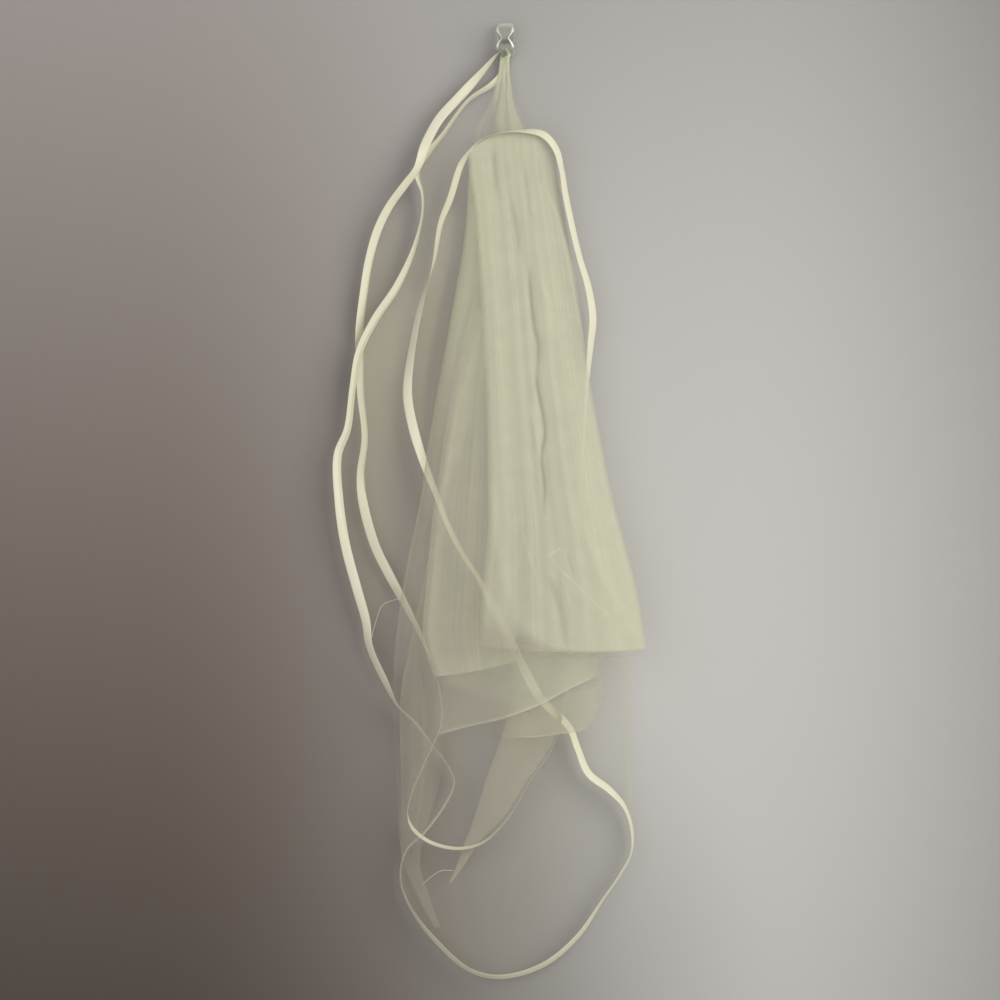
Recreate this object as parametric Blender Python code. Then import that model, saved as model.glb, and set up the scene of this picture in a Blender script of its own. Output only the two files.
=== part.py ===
"""Two-tier bridal veil of soft tulle, edged all round with satin ribbon, on a clear wall hook.

Metres, +Z up. The wall is the plane y = 0 and the veil hangs in front of it, towards -Y.
The origin is the centre of the hook's back face. Tables are in millimetres and degrees:
"out" is the distance in front of the wall, so y = -out.
"""

import math

import bmesh
import bpy
import numpy as np

MM = 0.001

# Driving dimensions
TULLE_WALL = 1.2
RIBBON_WIDTH = 9.0
RIBBON_WALL = 1.0
RIBBON_STEP = 20.0
WEB_STEP = 20.0
SEAM_GAP = 0.3
SEAM_INSET = RIBBON_WIDTH / 2 + SEAM_GAP + 1.0
HOOK_WIDTH = 19.0
HOOK_TOP = 16.0
HOOK_BOTTOM = -17.0
HOOK_PLATE = 3.0
HOOK_CORNER = 6.0
ARM_WALL = 2.8

# The ribbon's route, from the hook down the short tier, round its hem, up to the arch, down
# the long tier, round its hem and back up to the hook. Columns: x, z, out, turn. A turn of 0
# shows the ribbon's face to the room, and 90 shows its edge.
RIBBON_ROUTE = {
    "ribbon_short_left": [
        (-0.8, -8, 8, 90),
        (-8, -14.5, 8.5, 80),
        (-23, -32, 10, 60),
        (-42, -53, 13, 35),
        (-61, -74, 16, 15),
        (-74, -98, 19, 5),
        (-82, -121, 20, 0),
        (-94, -137, 18, 0),
        (-108, -156, 14, 0),
        (-119, -178, 12, 0),
        (-127, -206, 10, 0),
        (-132, -236, 9, 0),
        (-136, -271, 8, 0),
        (-136, -292, 8, 0),
        (-135, -330, 8, 10),
        (-131, -372, 8, 20),
        (-135, -406, 8, 25),
        (-133, -431, 8, 10),
        (-122, -472, 8, 0),
        (-109, -499, 8, 0),
        (-94, -527, 9, 0),
        (-79, -557, 13, 0),
        (-66, -588, 17, 0),
        (-60, -616, 19, 10),
        (-60, -640, 20, 40),
    ],
    "ribbon_short_hem": [
        (-66, -655, 20, 65),
        (-77, -679, 19, 75),
        (-86, -700, 18, 70),
        (-91, -720, 18, 50),
        (-87, -735, 21, 10),
        (-70, -749, 21, 0),
        (-43, -755, 21, 0),
        (-20, -749, 21, 45),
        (3, -726, 22, 75),
        (24, -690, 23, 75),
    ],
    "ribbon_short_right": [
        (42, -664, 23, 60),
        (54, -630, 23, 10),
        (60, -590, 20, 0),
        (66, -500, 18, 0),
        (72, -400, 16, 0),
        (77, -320, 16, 0),
        (80, -285, 18, 5),
        (82, -261, 20, 5),
        (78, -233, 23, 10),
        (70, -206, 26, 15),
        (64, -182, 28, 20),
        (56, -144, 31, 25),
        (53, -124, 32, 20),
        (47, -103, 33, 10),
    ],
    "ribbon_arch": [
        (35, -90, 33, 20),
        (14, -87, 33, 60),
        (-5, -89, 33, 85),
        (-22, -95, 32, 85),
        (-33, -106, 31, 60),
    ],
    "ribbon_long_right": [
        (-41, -118, 29, 50),
        (-51, -149, 26, 55),
        (-60, -172, 24, 60),
        (-67, -210, 22, 60),
        (-78, -246, 21, 40),
        (-87, -290, 21, 10),
        (-91, -330, 21, 0),
        (-87, -357, 21, 0),
        (-76, -394, 21, 0),
        (-66, -420, 20, 0),
        (-52, -456, 19, 0),
        (-39, -481, 19, 0),
        (-24, -504, 19, 0),
        (9, -570, 18, 0),
        (33, -615, 18, 0),
        (60, -642, 18, 20),
        (68, -662, 17, 20),
        (78, -685, 16, 0),
        (98, -701, 14, 0),
        (112, -717, 13, 20),
    ],
    "ribbon_long_hem": [
        (119, -740, 12, 60),
        (118, -760, 12, 70),
        (109, -778, 12, 60),
        (92, -803, 11, 40),
        (67, -839, 11, 10),
        (35, -865, 11, 0),
        (-5, -876, 11, 0),
        (-34, -869, 11, 0),
        (-66, -841, 11, 5),
        (-88, -812, 12, 30),
        (-97, -790, 12, 60),
        (-97, -770, 13, 75),
    ],
    "ribbon_long_left": [
        (-91, -755, 14, 80),
        (-76, -741, 14, 80),
        (-60, -720, 14, 80),
        (-50, -702, 14, 75),
        (-48, -690, 14, 60),
        (-57, -673, 14, 40),
        (-69, -658, 14, 10),
        (-85, -637, 14, 0),
        (-100, -623, 14, 0),
        (-112, -600, 14, 0),
        (-127, -566, 14, 30),
        (-130, -543, 14, 20),
        (-138, -514, 15, 0),
        (-149, -472, 15, 0),
        (-155, -430, 15, 0),
        (-156, -388, 15, 30),
        (-147, -364, 15, 40),
        (-142, -325, 16, 10),
        (-136, -292, 16, 0),
        (-121, -261, 16, 15),
        (-101, -231, 16, 40),
        (-85, -196, 16, 65),
        (-77, -164, 15, 80),
        (-77, -144, 14, 85),
        (-82, -124, 12, 60),
        (-72, -106, 12, 50),
        (-59, -90, 12, 50),
        (-34, -57, 14, 50),
        (-14, -43, 16, 55),
        (-2, -33, 16, 65),
        (5, -23, 12, 80),
        (4.8, -14, 9, 88),
        (0.6, -8, 8, 90),
    ],
}

# Pleated sheets. Columns: left x, left z, right x, right z, rise in the middle, out, pleat depth.
NECK_ROWS = [
    (-4, -16, 2, -16, 0, 6.5, 1.0),
    (-6, -37, 3, -37, 0, 7, 1.8),
    (-14, -60, 12, -60, 0, 9, 2.6),
    (-28, -88, 22, -88, 0, 11, 3.6),
    (-30, -125, 34, -125, 0, 12, 4.0),
]
FRONT_ROWS = [
    (-30, -110, 44, -107, 15, 30, 2.0),
    (-29, -130, 48, -130, 6, 32, 3.0),
    (-27, -160, 53, -160, 2, 34, 4.0),
    (-22, -246, 69, -246, 0, 42, 5.0),
    (-19, -302, 74, -302, 0, 47, 6.0),
    (-17, -353, 79, -353, 0, 50, 6.0),
    (-17, -415, 91, -415, 0, 53, 6.5),
    (-18, -444, 106, -444, 0, 55, 6.5),
    (-22, -524, 117, -524, 0, 60, 6.0),
    (-24, -556, 129, -558, 0, 62, 5.0),
]
# The front tier's cloth turns under at its foot and runs back up behind itself.
FRONT_TURN_RADIUS = 6.0
FRONT_RETURN_TOP = -470.0
FRONT_RETURN_DEPTH = 1.4
MIDDLE_ROWS = [
    (-23, -216, 0, -216, 0, 31.5, 0.8),
    (-38, -277, 5, -277, 0, 34, 1.8),
    (-51, -338, 8, -338, 0, 36, 3.0),
    (-60, -399, 10, -399, 0, 37.5, 3.5),
    (-67, -444, 12, -444, 0, 38, 3.8),
    (-73, -509, 12, -505, 0, 39, 4.0),
    (-76, -558, 11, -545, 0, 39, 4.0),
    (-69, -591, 9, -571, -6, 39, 3.0),
]
LONG_ROWS = [
    (-4, -30, 3, -30, 0, 3.2, 0.3),
    (-12, -60, 12, -60, 0, 3.6, 0.5),
    (-20, -88, 24, -88, 0, 4.2, 0.8),
    (-22, -115, 40, -115, 0, 5, 1.0),
    (-25, -200, 52, -200, 0, 5.5, 1.5),
    (-40, -300, 64, -300, 0, 6, 1.8),
    (-60, -420, 80, -420, 0, 6, 2.0),
    (-75, -500, 100, -500, 0, 6, 2.0),
    (-90, -571, 112, -571, 0, 6.5, 2.0),
    (-98, -619, 113, -619, 0, 6.5, 2.0),
    (-96, -700, 118, -700, 0, 6.5, 1.6),
    (-92, -740, 113, -740, 0, 6.5, 1.2),
    (-91, -760, 112, -760, 0, 6.5, 1.0),
    (-91, -782, 100, -782, 0, 6.5, 1.0),
    (-85, -803, 86, -803, 0, 6.5, 1.0),
    (-76, -822, 72, -822, 0, 6.5, 1.0),
    (-59, -841, 58, -841, 0, 6.5, 0.8),
    (-42, -856, 36, -856, 0, 6.5, 0.6),
    (-20, -867, 12, -867, 0, 6.5, 0.4),
]

# Folds of two leaves joined along their left edge.
# Columns: z, left x, right x, out of the back leaf, out of the front leaf.
SIDE_FOLD_ROWS = [
    (-112, -33, -18, 20, 24),
    (-186, -38, -18, 21, 27),
    (-261, -51, -28, 22, 29),
    (-363, -69, -50, 23, 31),
    (-430, -79, -60, 24, 32),
    (-493, -92, -68, 24, 32),
    (-564, -102, -72, 24, 32),
    (-619, -104, -76, 24, 31),
    (-671, -102, -82, 24, 30),
    (-704, -100, -85, 24, 29),
    (-762, -96, -83, 23, 27),
    (-801, -80, -70, 21, 25),
    (-828, -66, -60, 19, 22),
]
TAIL_ROWS = [
    (-600, 12, 40, 24, 27),
    (-632, 2, 43, 22.5, 27),
    (-652, -4, 40, 22, 26.5),
    (-671, -11, 30, 21, 26),
    (-690, -18, 17, 20, 25),
    (-704, -23, 9, 19, 24),
    (-726, -31, -4, 17, 21),
    (-740, -36, -18, 14.5, 18),
    (-752, -39, -29, 12.5, 15.5),
    (-768, -43, -36, 12, 15),
    (-788, -52, -48, 11, 13.5),
]

# Swags below the front tier. Columns: x, top z, bottom z, out.
SWAG_COLUMNS = [
    (-65, -618, -646, 32),
    (-50, -603, -643, 33),
    (-27, -610, -638, 34),
    (6, -617, -628, 35),
    (28, -600, -621, 36),
    (61, -572, -605, 38),
    (85, -568, -594, 40),
    (100, -568, -588, 40),
]
CORNER_COLUMNS = [
    (-14, -640, -650, 29),
    (22, -615, -650, 30),
    (50, -600, -645, 31),
    (73, -596, -640, 32),
    (85, -596, -624, 32.5),
    (96, -594, -606, 33),
]

# Single sheer cloth from a ribbon to the folds. Columns: z, far x, out at the ribbon, out at
# the folds. The near edge follows the named stretch of ribbon.
WEB_ROWS = {
    "tulle_short_left": (
        "ribbon_short_left",
        [
            (-148, -90, 14, 10),
            (-168, -84, 11.5, 6.5),
            (-206, -66, 9, 5.5),
            (-236, -54, 8, 5.5),
            (-292, -54, 7, 5.5),
            (-330, -60, 7, 5.5),
            (-372, -68, 7, 5.5),
            (-431, -77, 7, 5.5),
            (-472, -85, 7, 5.5),
            (-499, -89, 7, 5.5),
        ],
    ),
    "tulle_long_left": (
        "ribbon_long_left",
        [
            (-64, -25, 12, 12),
            (-72, -22, 12, 12),
            (-90, -31, 12, 12),
            (-106, -34, 12, 12),
            (-144, -35, 13, 13),
            (-196, -38, 14, 13),
            (-231, -43, 15, 13),
            (-261, -48, 15.5, 14),
            (-292, -54, 16, 14),
            (-325, -60, 16, 14),
            (-388, -71, 15, 14),
            (-430, -77, 15, 14),
            (-472, -85, 15, 14),
            (-514, -93, 15, 14),
            (-543, -97, 14, 14),
            (-566, -99, 14, 14),
        ],
    ),
    "tulle_long_right": (
        "ribbon_long_right",
        [
            (-152, -34, 25, 18),
            (-172, -35, 23, 18),
            (-210, -39, 21, 18),
            (-246, -46, 20, 18),
            (-290, -54, 20, 18),
            (-330, -61, 20, 18),
            (-357, -66, 20, 18),
            (-394, -70, 20, 18),
        ],
    ),
}

# The hook's arm. Columns: out, z, width.
ARM_SECTIONS = [
    (1.0, -13.4, 5.6),
    (9.0, -13.6, 5.6),
    (14.2, -12.4, 5.6),
    (16.6, -8.6, 5.8),
    (17.6, -3.0, 6.4),
    (18.2, 3.0, 10.5),
    (18.4, 8.0, 14.0),
    (18.4, 12.0, 12.6),
    (18.3, 15.0, 7.0),
]


def clear_scene():
    """Removes whatever objects the file opened with."""
    for thing in list(bpy.data.objects):
        bpy.data.objects.remove(thing, do_unlink=True)


def make_material(name, colour, roughness, alpha):
    """A Principled material of one colour."""
    material = bpy.data.materials.new(name)
    material.use_nodes = True
    shader = material.node_tree.nodes["Principled BSDF"]
    shader.inputs["Base Color"].default_value = (*colour, 1.0)
    shader.inputs["Roughness"].default_value = roughness
    shader.inputs["Metallic"].default_value = 0.0
    shader.inputs["Alpha"].default_value = alpha
    return material


def add_object(name, points, faces, material):
    """Makes one closed mesh object from points in millimetres, with its faces pointing out."""
    mesh = bpy.data.meshes.new(name)
    mesh.from_pydata((np.asarray(points) * MM).tolist(), [], faces)
    shape = bmesh.new()
    shape.from_mesh(mesh)
    bmesh.ops.recalc_face_normals(shape, faces=shape.faces)
    bmesh.ops.triangulate(shape, faces=shape.faces)
    shape.to_mesh(mesh)
    shape.free()
    mesh.materials.append(material)
    mesh.shade_smooth()
    mesh.set_sharp_from_angle(angle=math.radians(50))
    thing = bpy.data.objects.new(name, mesh)
    bpy.context.scene.collection.objects.link(thing)
    return thing


def grid_faces(rows, columns, start, flip):
    """The quads of one grid of points whose numbers begin at start."""
    faces = []
    for row in range(rows - 1):
        for column in range(columns - 1):
            a = start + row * columns + column
            quad = [a, a + 1, a + columns + 1, a + columns]
            faces.append(quad[::-1] if flip else quad)
    return faces


def surface_normals(grid):
    """Unit normals of a grid of points, from the slopes along its rows and columns."""
    along = np.gradient(grid, axis=0)
    across = np.gradient(grid, axis=1)
    normals = np.cross(along, across)
    return normals / np.linalg.norm(normals, axis=2, keepdims=True)


def make_wall(name, grid, wall, material):
    """A closed wall of even thickness about a grid of points: two skins and a rim."""
    rows, columns = grid.shape[:2]
    shift = surface_normals(grid) * wall / 2
    points = np.concatenate([(grid + shift).reshape(-1, 3), (grid - shift).reshape(-1, 3)])
    count = rows * columns
    faces = grid_faces(rows, columns, 0, False) + grid_faces(rows, columns, count, True)
    rim = [column for column in range(columns)]
    rim += [row * columns + columns - 1 for row in range(1, rows)]
    rim += [(rows - 1) * columns + column for column in range(columns - 2, -1, -1)]
    rim += [row * columns for row in range(rows - 2, 0, -1)]
    for here, there in zip(rim, rim[1:] + rim[:1]):
        faces.append([there, here, here + count, there + count])
    return add_object(name, points, faces, material)


def smooth_route(table, step):
    """Points on a centripetal Catmull-Rom curve through the table's rows, about a step apart."""
    rows = np.array(table, float)
    ends = np.vstack([2 * rows[0] - rows[1], rows, 2 * rows[-1] - rows[-2]])
    route = []
    marks = []
    for i in range(1, len(ends) - 2):
        p0, p1, p2, p3 = ends[i - 1 : i + 3]
        knots = [0.0]
        for a, b in ((p0, p1), (p1, p2), (p2, p3)):
            knots.append(knots[-1] + math.sqrt(np.linalg.norm(b[:3] - a[:3])))
        t0, t1, t2, t3 = knots
        pieces = max(1, round(np.linalg.norm(p2[:3] - p1[:3]) / step))
        marks.append(len(route))
        for t in t1 + (t2 - t1) * np.arange(pieces) / pieces:
            a1 = p0 + (p1 - p0) * (t - t0) / (t1 - t0)
            a2 = p1 + (p2 - p1) * (t - t1) / (t2 - t1)
            a3 = p2 + (p3 - p2) * (t - t2) / (t3 - t2)
            b1 = a1 + (a2 - a1) * (t - t0) / (t2 - t0)
            b2 = a2 + (a3 - a2) * (t - t1) / (t3 - t1)
            route.append(b1 + (b2 - b1) * (t - t1) / (t2 - t1))
    marks.append(len(route))
    route.append(ends[-2])
    return np.array(route), marks


def make_ribbons(material):
    """One flat band for each stretch of the route, turned about its run as the table says."""
    table = [row for rows in RIBBON_ROUTE.values() for row in rows]
    route, marks = smooth_route(table, RIBBON_STEP)
    centre = np.stack([route[:, 0], -route[:, 2], route[:, 1]], axis=1)
    run = np.gradient(centre, axis=0)
    run /= np.linalg.norm(run, axis=1, keepdims=True)
    side = np.cross(run, [0.0, 1.0, 0.0])
    side /= np.linalg.norm(side, axis=1, keepdims=True)
    turn = np.radians(route[:, 3])[:, None]
    width = side * np.cos(turn) + np.cross(side, run) * np.sin(turn)
    face = np.cross(run, width)
    first = 0
    for name, rows in RIBBON_ROUTE.items():
        last = min(first + len(rows), len(table) - 1)
        chosen = slice(marks[first], marks[last] + 1)
        middle = centre[chosen].copy()
        middle[0] += run[marks[first]] * SEAM_GAP / 2
        middle[-1] -= run[marks[last]] * SEAM_GAP / 2
        edge = width[chosen] * RIBBON_WIDTH / 2
        thick = face[chosen] * RIBBON_WALL / 2
        loops = [middle + edge + thick, middle - edge + thick, middle - edge - thick]
        loops.append(middle + edge - thick)
        loft_object(name, np.stack(loops, axis=1), material)
        first = last
    return route


def loft_object(name, sections, material):
    """A closed tube through sections of equal point count, capped at both ends."""
    rows, columns = sections.shape[:2]
    faces = []
    for row in range(rows - 1):
        for column in range(columns):
            a = row * columns + column
            b = row * columns + (column + 1) % columns
            faces.append([a, b, b + columns, a + columns])
    faces.append(list(range(columns))[::-1])
    faces.append([(rows - 1) * columns + column for column in range(columns)])
    return add_object(name, sections.reshape(-1, 3), faces, material)


def uneven_wave(u, pleats, wander):
    """A pleat wave from -1 to 1 whose pleats differ in width and depth across the sheet."""
    phase = pleats * u + wander * np.sin(2 * math.pi * 1.7 * u + 0.8)
    depth = 0.78 + 0.22 * np.sin(2 * math.pi * 2.3 * u + 1.9)
    return depth * np.sin(2 * math.pi * phase)


def pleated_grid(table, pleats, across, wander):
    """Points of a pleated sheet: a row of the table for each height, a wave across it."""
    rows = np.array(table, float)
    u = np.linspace(0.0, 1.0, across)
    left_x, left_z, right_x, right_z, rise, out, depth = (rows[:, [i]] for i in range(7))
    x = left_x + (right_x - left_x) * u
    z = left_z + (right_z - left_z) * u + rise * (1 - (2 * u - 1) ** 2)
    y = -(out + depth * uneven_wave(u, pleats, wander))
    return np.stack([x, y, z], axis=2)


def front_tier_grid(pleats, across, wander):
    """The front tier's rows, then its turn under at the foot and its run back up behind."""
    front = pleated_grid(FRONT_ROWS, pleats, across, wander)
    foot = FRONT_ROWS[-1]
    left_x, left_z, right_x, right_z, _, out, depth = foot
    turned = []
    for share in (0.25, 0.5, 0.75, 1.0):
        angle = math.pi * share
        drop = FRONT_TURN_RADIUS * math.sin(angle)
        back = FRONT_TURN_RADIUS * (1 - math.cos(angle))
        soft = depth + (FRONT_RETURN_DEPTH - depth) * share
        row = (left_x, left_z - drop, right_x, right_z - drop, 0, out - back, soft)
        turned.append(row)
    far = out - 2 * FRONT_TURN_RADIUS
    top = FRONT_RETURN_TOP
    turned.append((left_x + 2, (left_z + top) / 2, right_x - 6, (left_z + top) / 2, 0, far, 1.4))
    turned.append((left_x + 4, top, right_x - 16, top, 0, far - 1, FRONT_RETURN_DEPTH))
    return np.concatenate([front, pleated_grid(turned, pleats, across, wander)])


def two_leaf_grid(table):
    """Points of a fold: the back leaf, a round turn at the left edge, then the front leaf."""
    rows = []
    for z, left, right, back, front in table:
        radius = (front - back) / 2
        turn_x = left + radius
        flat = np.array([1.0, 0.5, 0.12])
        leaf = turn_x + (right - turn_x) * flat
        angles = np.radians([45, 90, 135])
        bend_x = turn_x - radius * np.sin(angles)
        bend_out = (front + back) / 2 - radius * np.cos(angles)
        x = np.concatenate([leaf, bend_x, leaf[::-1]])
        out = np.concatenate([np.full(3, back), bend_out, np.full(3, front)])
        rows.append(np.stack([x, -out, np.full(len(x), z)], axis=1))
    return np.array(rows)


def swag_grid(table, ripple, steps):
    """Points of a swag: a column of the table at each x, with a soft ripple down it."""
    columns = np.array(table, float)
    v = np.linspace(0.0, 1.0, steps)[:, None]
    x, top, bottom, out = columns.T
    z = top + (bottom - top) * v
    y = -(out + ripple * np.sin(0.11 * x + 2.2 * v))
    return np.stack([np.broadcast_to(x, z.shape), y, z], axis=2)


def web_grid(route, table, steps):
    """Points of a sheer web: from the ribbon's inner edge at each height out to the folds."""
    route = route[np.argsort(route[:, 1])]
    slope = np.gradient(route[:, 0], route[:, 1])
    lean = np.sqrt(1 + slope**2)
    rows = np.array(table, float)[::-1]
    levels = np.linspace(rows[-1, 0], rows[0, 0], round(np.ptp(rows[:, 0]) / WEB_STEP) + 1)
    u = np.linspace(0.0, 1.0, steps)
    grid = []
    for z in levels:
        far, near_out, far_out = (np.interp(z, rows[:, 0], rows[:, i]) for i in (1, 2, 3))
        near = np.interp(z, route[:, 1], route[:, 0])
        near += SEAM_INSET * np.interp(z, route[:, 1], lean)
        x = near + (far - near) * u
        out = far_out + (near_out - far_out) * (1 - u) ** 3
        grid.append(np.stack([x, -out, np.full(steps, z)], axis=1))
    return np.array(grid)


def make_webs(material):
    """Each sheer web, hung between its stretch of ribbon and the folds."""
    for name, (stretch, table) in WEB_ROWS.items():
        route, _ = smooth_route(RIBBON_ROUTE[stretch], RIBBON_STEP)
        make_wall(name, web_grid(route, table, 5), TULLE_WALL, material)


def hook_plate_outline():
    """Corners of the hook's plate as four quarter rounds, in x and z."""
    outline = []
    half = HOOK_WIDTH / 2 - HOOK_CORNER
    corners = [
        (half, HOOK_TOP - HOOK_CORNER, 0),
        (-half, HOOK_TOP - HOOK_CORNER, 90),
        (-half, HOOK_BOTTOM + HOOK_CORNER, 180),
        (half, HOOK_BOTTOM + HOOK_CORNER, 270),
    ]
    for x, z, start in corners:
        for angle in np.radians(start + np.linspace(0, 90, 5)):
            outline.append((x + HOOK_CORNER * math.cos(angle), z + HOOK_CORNER * math.sin(angle)))
    return np.array(outline)


def make_hook(material):
    """The clear hook: a rounded plate, and an arm that comes out, turns up and widens."""
    outline = hook_plate_outline()
    levels = [(0.0, 1.0), (HOOK_PLATE - 0.8, 1.0), (HOOK_PLATE, 0.92)]
    sections = []
    for out, share in levels:
        x = outline[:, 0] * share
        z = outline[:, 1] * share
        sections.append(np.stack([x, np.full(len(x), -out), z], axis=1))
    plate = loft_object("wall_hook", np.array(sections), material)

    path = np.array(ARM_SECTIONS, float)
    run = np.gradient(path[:, :2], axis=0)
    run /= np.linalg.norm(run, axis=1, keepdims=True)
    across = np.stack([-run[:, 1], run[:, 0]], axis=1) * ARM_WALL / 2
    soft = 0.82
    sections = []
    for (out, z, width), (d_out, d_z) in zip(path, across):
        half = width / 2
        corners = [(half, 0.5), (half * soft, 1), (-half * soft, 1), (-half, 0.5)]
        corners += [(-half, -0.5), (-half * soft, -1), (half * soft, -1), (half, -0.5)]
        section = [(x, -(out + side * d_out), z + side * d_z) for x, side in corners]
        sections.append(section)
    arm = loft_object("hook_arm", np.array(sections), material)
    join = plate.modifiers.new("arm", "BOOLEAN")
    join.operation = "UNION"
    join.object = arm
    arm.hide_render = True
    arm.display_type = "WIRE"


def main():
    clear_scene()
    tulle = make_material("tulle", (0.72, 0.71, 0.56), 0.9, 0.5)
    satin = make_material("satin_ribbon", (0.80, 0.79, 0.63), 0.35, 1.0)
    clear = make_material("clear_plastic", (0.80, 0.82, 0.80), 0.08, 0.5)
    make_hook(clear)
    make_ribbons(satin)
    make_webs(tulle)
    make_wall("tulle_neck", pleated_grid(NECK_ROWS, 3, 13, 0.1), TULLE_WALL, tulle)
    make_wall("tulle_front_tier", front_tier_grid(8, 33, 0.35), TULLE_WALL, tulle)
    make_wall("tulle_middle_fold", pleated_grid(MIDDLE_ROWS, 3, 13, 0.15), TULLE_WALL, tulle)
    make_wall("tulle_long_tier", pleated_grid(LONG_ROWS, 4, 17, 0.2), TULLE_WALL, tulle)
    make_wall("tulle_side_fold", two_leaf_grid(SIDE_FOLD_ROWS), TULLE_WALL, tulle)
    make_wall("tulle_tail", two_leaf_grid(TAIL_ROWS), TULLE_WALL, tulle)
    make_wall("tulle_swag", swag_grid(SWAG_COLUMNS, 1.2, 4), TULLE_WALL, tulle)
    make_wall("tulle_corner", swag_grid(CORNER_COLUMNS, 0.8, 4), TULLE_WALL, tulle)


main()
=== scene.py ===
"""The looks of a two-tier bridal veil of ivory tulle with a satin ribbon edge, on a clear wall hook.

Metres, +Z up. The wall is the plane y = 0 and the veil hangs in front of it, towards -Y.
Tables are in millimetres and degrees: "out" is the distance in front of the wall, so y = -out.
"""

import math

import bpy
import numpy as np
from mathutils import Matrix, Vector


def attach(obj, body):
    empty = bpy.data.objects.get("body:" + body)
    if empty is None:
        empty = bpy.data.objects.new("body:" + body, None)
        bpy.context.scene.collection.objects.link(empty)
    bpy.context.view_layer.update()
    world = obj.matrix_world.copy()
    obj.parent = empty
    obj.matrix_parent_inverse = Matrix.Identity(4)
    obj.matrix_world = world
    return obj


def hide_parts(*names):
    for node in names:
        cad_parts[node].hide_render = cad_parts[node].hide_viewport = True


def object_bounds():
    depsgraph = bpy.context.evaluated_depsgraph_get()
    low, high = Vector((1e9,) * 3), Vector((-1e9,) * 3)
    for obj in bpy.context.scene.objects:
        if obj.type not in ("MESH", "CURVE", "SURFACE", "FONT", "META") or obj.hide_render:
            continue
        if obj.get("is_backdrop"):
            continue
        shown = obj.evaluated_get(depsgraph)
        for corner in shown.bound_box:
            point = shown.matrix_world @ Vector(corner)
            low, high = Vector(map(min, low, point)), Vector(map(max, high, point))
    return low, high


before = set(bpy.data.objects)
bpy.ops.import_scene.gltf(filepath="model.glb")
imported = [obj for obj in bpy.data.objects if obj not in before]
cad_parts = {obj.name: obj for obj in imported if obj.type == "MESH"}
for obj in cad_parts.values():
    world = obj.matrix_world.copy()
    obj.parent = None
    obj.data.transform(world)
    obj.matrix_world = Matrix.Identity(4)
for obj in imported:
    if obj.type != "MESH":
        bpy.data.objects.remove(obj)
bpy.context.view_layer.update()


# Clear wall hook. A small hook moulded in clear styrene: a rounded plate stuck flat on the wall,
# and an arm that comes out low, turns up, and widens from a narrow waist to a rounded head.
MM = 0.001
HOOK_HALF_WIDTH = 9.5
HOOK_TOP = 16.0
HOOK_BOTTOM = -17.0
HOOK_CORNER = 6.0
HOOK_CORNER_POINTS = 13
ARM_SIDES = 32

# The plate's section from the wall out. Columns: out, share of the full outline.
PLATE_SECTION = [
    (0.0, 0.97),
    (0.4, 1.0),
    (2.2, 1.0),
    (2.7, 0.975),
    (3.0, 0.93),
    (3.05, 0.80),
    (2.2, 0.62),
    (2.1, 0.3),
]

# The arm, from inside the plate to the head. Columns: out, z, half width, half thickness.
ARM_SECTION = [
    (1.2, -13.4, 2.7, 1.3),
    (5.0, -13.5, 2.7, 1.3),
    (9.0, -13.6, 2.7, 1.35),
    (12.4, -13.3, 3.2, 1.4),
    (14.8, -12.0, 5.6, 1.4),
    (16.4, -9.4, 7.9, 1.4),
    (17.3, -6.4, 8.2, 1.4),
    (17.7, -3.4, 6.8, 1.45),
    (17.9, -1.0, 5.0, 1.5),
    (18.0, 1.2, 3.6, 1.5),
    (18.2, 3.8, 5.4, 1.5),
    (18.4, 7.0, 7.9, 1.5),
    (18.4, 11.0, 8.2, 1.45),
    (18.3, 14.0, 7.4, 1.2),
    (18.2, 15.2, 5.4, 0.7),
    (18.2, 15.6, 2.5, 0.2),
]


def linear(colour):
    """An sRGB hex colour as linear red, green, blue and 1."""
    srgb = np.array([int(colour[i : i + 2], 16) for i in (1, 3, 5)]) / 255
    curve = np.where(srgb <= 0.04045, srgb / 12.92, ((srgb + 0.055) / 1.055) ** 2.4)
    return (*curve.tolist(), 1.0)


def add_node(tree, kind, inputs, **settings):
    """Adds a node with its settings, and sets each input to a value or links it to a socket."""
    node = tree.nodes.new(kind)
    for name, value in settings.items():
        setattr(node, name, value)
    for key, value in inputs.items():
        if isinstance(value, bpy.types.NodeSocket):
            tree.links.new(value, node.inputs[key])
        else:
            node.inputs[key].default_value = value
    return node


def new_material(name, sockets):
    """A material with one Principled shader, and its constant values set on the shader."""
    material = bpy.data.materials.new(name)
    material.use_nodes = True
    shader = material.node_tree.nodes["Principled BSDF"]
    for key, value in sockets.items():
        shader.inputs[key].default_value = value
    return material, material.node_tree, shader


def smooth_rows(table, count):
    """Catmull-Rom curve through a table's rows: count rows, evenly spaced in row number."""
    rows = np.array(table, float)
    ends = np.vstack([2 * rows[0] - rows[1], rows, 2 * rows[-1] - rows[-2]])
    place = np.linspace(0, len(rows) - 1, count)
    first = np.minimum(place.astype(int), len(rows) - 2)
    t = (place - first)[:, None]
    p0, p1, p2, p3 = (ends[first + i] for i in range(4))
    bend = p0 - 2.5 * p1 + 2 * p2 - 0.5 * p3
    twist = 1.5 * p1 - 0.5 * p0 - 1.5 * p2 + 0.5 * p3
    return p1 + 0.5 * t * (p2 - p0) + t**2 * bend + t**3 * twist


def add_piece(name, points, faces, material):
    """A smooth-shaded object from points in millimetres, riding on the veil's one body."""
    mesh = bpy.data.meshes.new(name)
    mesh.from_pydata((np.asarray(points).reshape(-1, 3) * MM).tolist(), [], faces)
    mesh.materials.append(material)
    mesh.shade_smooth()
    piece = bpy.data.objects.new(name, mesh)
    bpy.context.scene.collection.objects.link(piece)
    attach(piece, "root")
    return piece


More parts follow.
